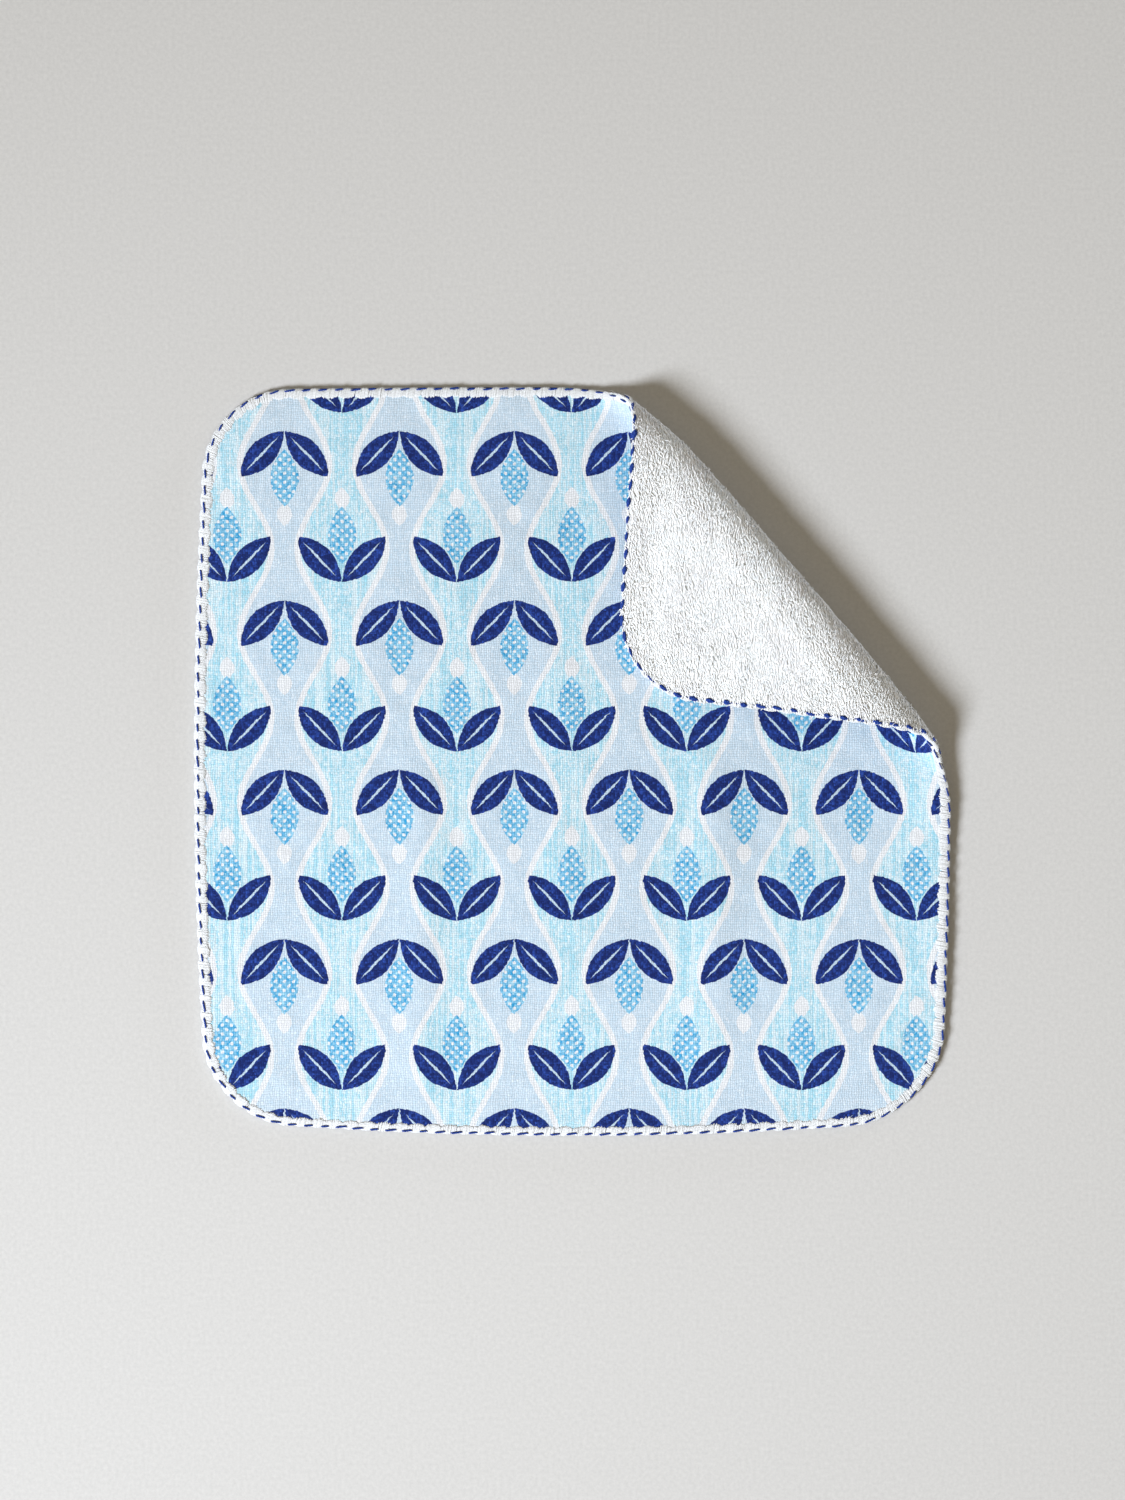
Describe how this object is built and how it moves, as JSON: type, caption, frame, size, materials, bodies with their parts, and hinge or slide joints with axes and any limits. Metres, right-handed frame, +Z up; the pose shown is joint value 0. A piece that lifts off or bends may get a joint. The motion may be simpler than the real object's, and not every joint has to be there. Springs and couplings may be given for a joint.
{
  "type": "folded-corner handkerchief",
  "caption": "Square towelling handkerchief lying flat and face up, with rounded corners, a scalloped overlocked edge and its upper right corner turned over in a soft roll.",
  "frame": {"origin": "on the surface that the cloth lies on, below the middle of its box", "axes": "+Z up out of the printed face, +X to the right and +Y away from a viewer who sees the turned corner at the upper right"},
  "size_m": [0.2504, 0.249, 0.0168],
  "materials": {
    "cloth": "matt cotton, printed gauze face and white looped back"
  },
  "bodies": {
    "root": {"handkerchief_cloth": "cloth"}
  },
  "joints": []
}
